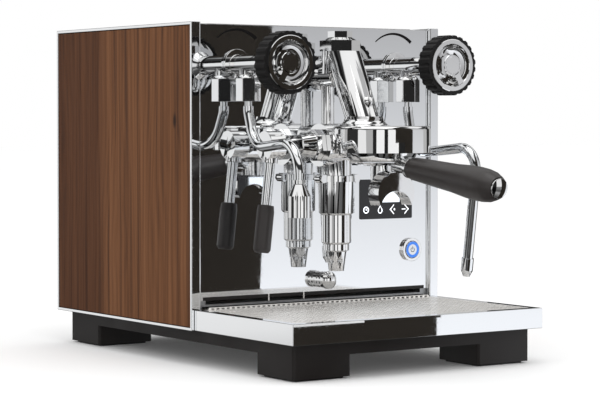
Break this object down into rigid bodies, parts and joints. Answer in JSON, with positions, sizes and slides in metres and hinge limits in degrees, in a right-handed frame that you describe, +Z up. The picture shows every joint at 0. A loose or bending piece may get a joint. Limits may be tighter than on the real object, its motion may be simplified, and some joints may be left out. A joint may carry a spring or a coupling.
{
  "type": "espresso machine",
  "caption": "Countertop espresso machine with a lever brew group, rotary steam and water valves on swivel wands, portafilter and drip tray in a steel housing with wood sides",
  "frame": {"origin": "bottom centre of the machine's box, on the counter", "axes": "+Z up, the front with the brew group and the tray faces -Y, +X to the machine's right as seen from the front"},
  "size_m": [0.3, 0.5536, 0.331],
  "materials": {
    "mirror_steel": "mirror polished stainless steel",
    "chrome_plate": "bright chrome plating on brass",
    "brushed_steel": "satin stainless steel",
    "walnut": "oiled walnut with a vertical grain",
    "black_paint": "satin black moulding",
    "black_rubber": "matt black rubber",
    "handle_black": "matt black phenolic plastic",
    "display_glass": "black glass over a lit screen",
    "grey_plastic": "dark grey plastic",
    "seat_ptfe": "white PTFE",
    "tank_plastic": "clear plastic",
    "button_steel": "polished cap with a lit ring",
    "frame_steel": "zinc plated sheet steel",
    "copper": "bare copper",
    "brass": "bare brass"
  },
  "bodies": {
    "machine": {"base_plinth": "black_paint", "foot_pads": "black_rubber", "chassis_frame": "frame_steel", "left_side_frame": "mirror_steel", "right_side_frame": "mirror_steel", "left_wood_panel": "walnut", "right_wood_panel": "walnut", "front_panel": "mirror_steel", "back_cover": "brushed_steel", "top_frame": "mirror_steel", "water_tank": "tank_plastic", "tank_lid": "grey_plastic", "shell_screws": "brushed_steel", "power_inlet": "grey_plastic", "touch_display": "display_glass", "display_module": "grey_plastic", "button_bezel": "chrome_plate", "valve_bodies": "chrome_plate", "valve_bonnets": "chrome_plate", "wand_nuts": "chrome_plate", "group_body": "chrome_plate", "group_cap": "chrome_plate", "group_jet_plug": "chrome_plate", "group_gasket": "black_rubber", "shower_screen": "brushed_steel", "cam_nut": "chrome_plate", "infusion_chamber": "chrome_plate", "exhaust_housing": "chrome_plate", "drain_nozzle": "chrome_plate", "relief_outlet": "chrome_plate", "boiler": "copper", "boiler_flange": "brass", "vibration_pump": "grey_plastic", "control_box": "grey_plastic", "siphon_pipes": "copper"},
    "left_knob": {"left_valve_stem": "brushed_steel", "left_knob_core": "chrome_plate", "left_knob_grip": "black_rubber"},
    "right_knob": {"right_valve_stem": "brushed_steel", "right_knob_core": "chrome_plate", "right_knob_grip": "black_rubber"},
    "left_wand_seat": {"left_ball_seat": "seat_ptfe"},
    "left_wand": {"hot_water_wand": "mirror_steel", "hot_water_nozzle": "chrome_plate"},
    "right_wand_seat": {"right_ball_seat": "seat_ptfe"},
    "right_wand": {"steam_wand": "mirror_steel", "steam_tip": "mirror_steel"},
    "brew_lever": {"lever_hub": "chrome_plate", "lever_rod": "mirror_steel", "lever_grip": "handle_black"},
    "portafilter": {"portafilter_body": "chrome_plate", "filter_basket": "brushed_steel", "portafilter_spout": "chrome_plate", "portafilter_handle": "handle_black", "handle_cap": "chrome_plate"},
    "drip_tray": {"drip_tray_rim": "mirror_steel", "drip_basin": "brushed_steel"},
    "drip_grate": {"drip_grate": "brushed_steel"},
    "button": {"power_button": "button_steel"},
    "cup_tray": {"cup_tray": "brushed_steel"}
  },
  "joints": [
    {"name": "left_knob_turn", "type": "hinge", "parent": "machine", "child": "left_knob", "pos_m": [-0.0967, -0.05716, 0.2905], "axis": [0, -1, 0], "range_deg": [0, 540]},
    {"name": "right_knob_turn", "type": "hinge", "parent": "machine", "child": "right_knob", "pos_m": [0.0967, -0.05716, 0.2905], "axis": [0, -1, 0], "range_deg": [0, 540]},
    {"name": "left_wand_swivel", "type": "hinge", "parent": "machine", "child": "left_wand_seat", "pos_m": [-0.0967, -0.01516, 0.2615], "axis": [0, 0, 1], "range_deg": [-60, 0]},
    {"name": "left_wand_tilt", "type": "hinge", "parent": "left_wand_seat", "child": "left_wand", "pos_m": [-0.0967, -0.01516, 0.2615], "axis": [-0.9925, 0.1219, 0], "range_deg": [-4, 12]},
    {"name": "right_wand_swivel", "type": "hinge", "parent": "machine", "child": "right_wand_seat", "pos_m": [0.0967, -0.01516, 0.2615], "axis": [0, 0, 1], "range_deg": [-15, 60]},
    {"name": "right_wand_tilt", "type": "hinge", "parent": "right_wand_seat", "child": "right_wand", "pos_m": [0.0967, -0.01516, 0.2615], "axis": [-1, 0, 0], "range_deg": [-4, 12]},
    {"name": "brew_lever_swing", "type": "hinge", "parent": "machine", "child": "brew_lever", "pos_m": [-0.077, -0.02616, 0.212], "axis": [-1, 0, 0], "range_deg": [0, 85]},
    {"name": "portafilter_turn", "type": "hinge", "parent": "machine", "child": "portafilter", "pos_m": [0, -0.09996, 0.2055], "axis": [0, 0, 1], "range_deg": [-45, 0]},
    {"name": "drip_tray_slide", "type": "slide", "parent": "machine", "child": "drip_tray", "axis": [0, -1, 0], "range_m": [0, 0.12]},
    {"name": "drip_grate_lift", "type": "slide", "parent": "drip_tray", "child": "drip_grate", "axis": [0, 0, 1], "range_m": [0, 0.012]},
    {"name": "power_button_press", "type": "slide", "parent": "machine", "child": "button", "axis": [0, 1, 0], "range_m": [0, 0.0015], "stiffness_N_per_m": 600},
    {"name": "cup_tray_lift", "type": "slide", "parent": "machine", "child": "cup_tray", "axis": [0, 0, 1], "range_m": [0, 0.06]}
  ]
}
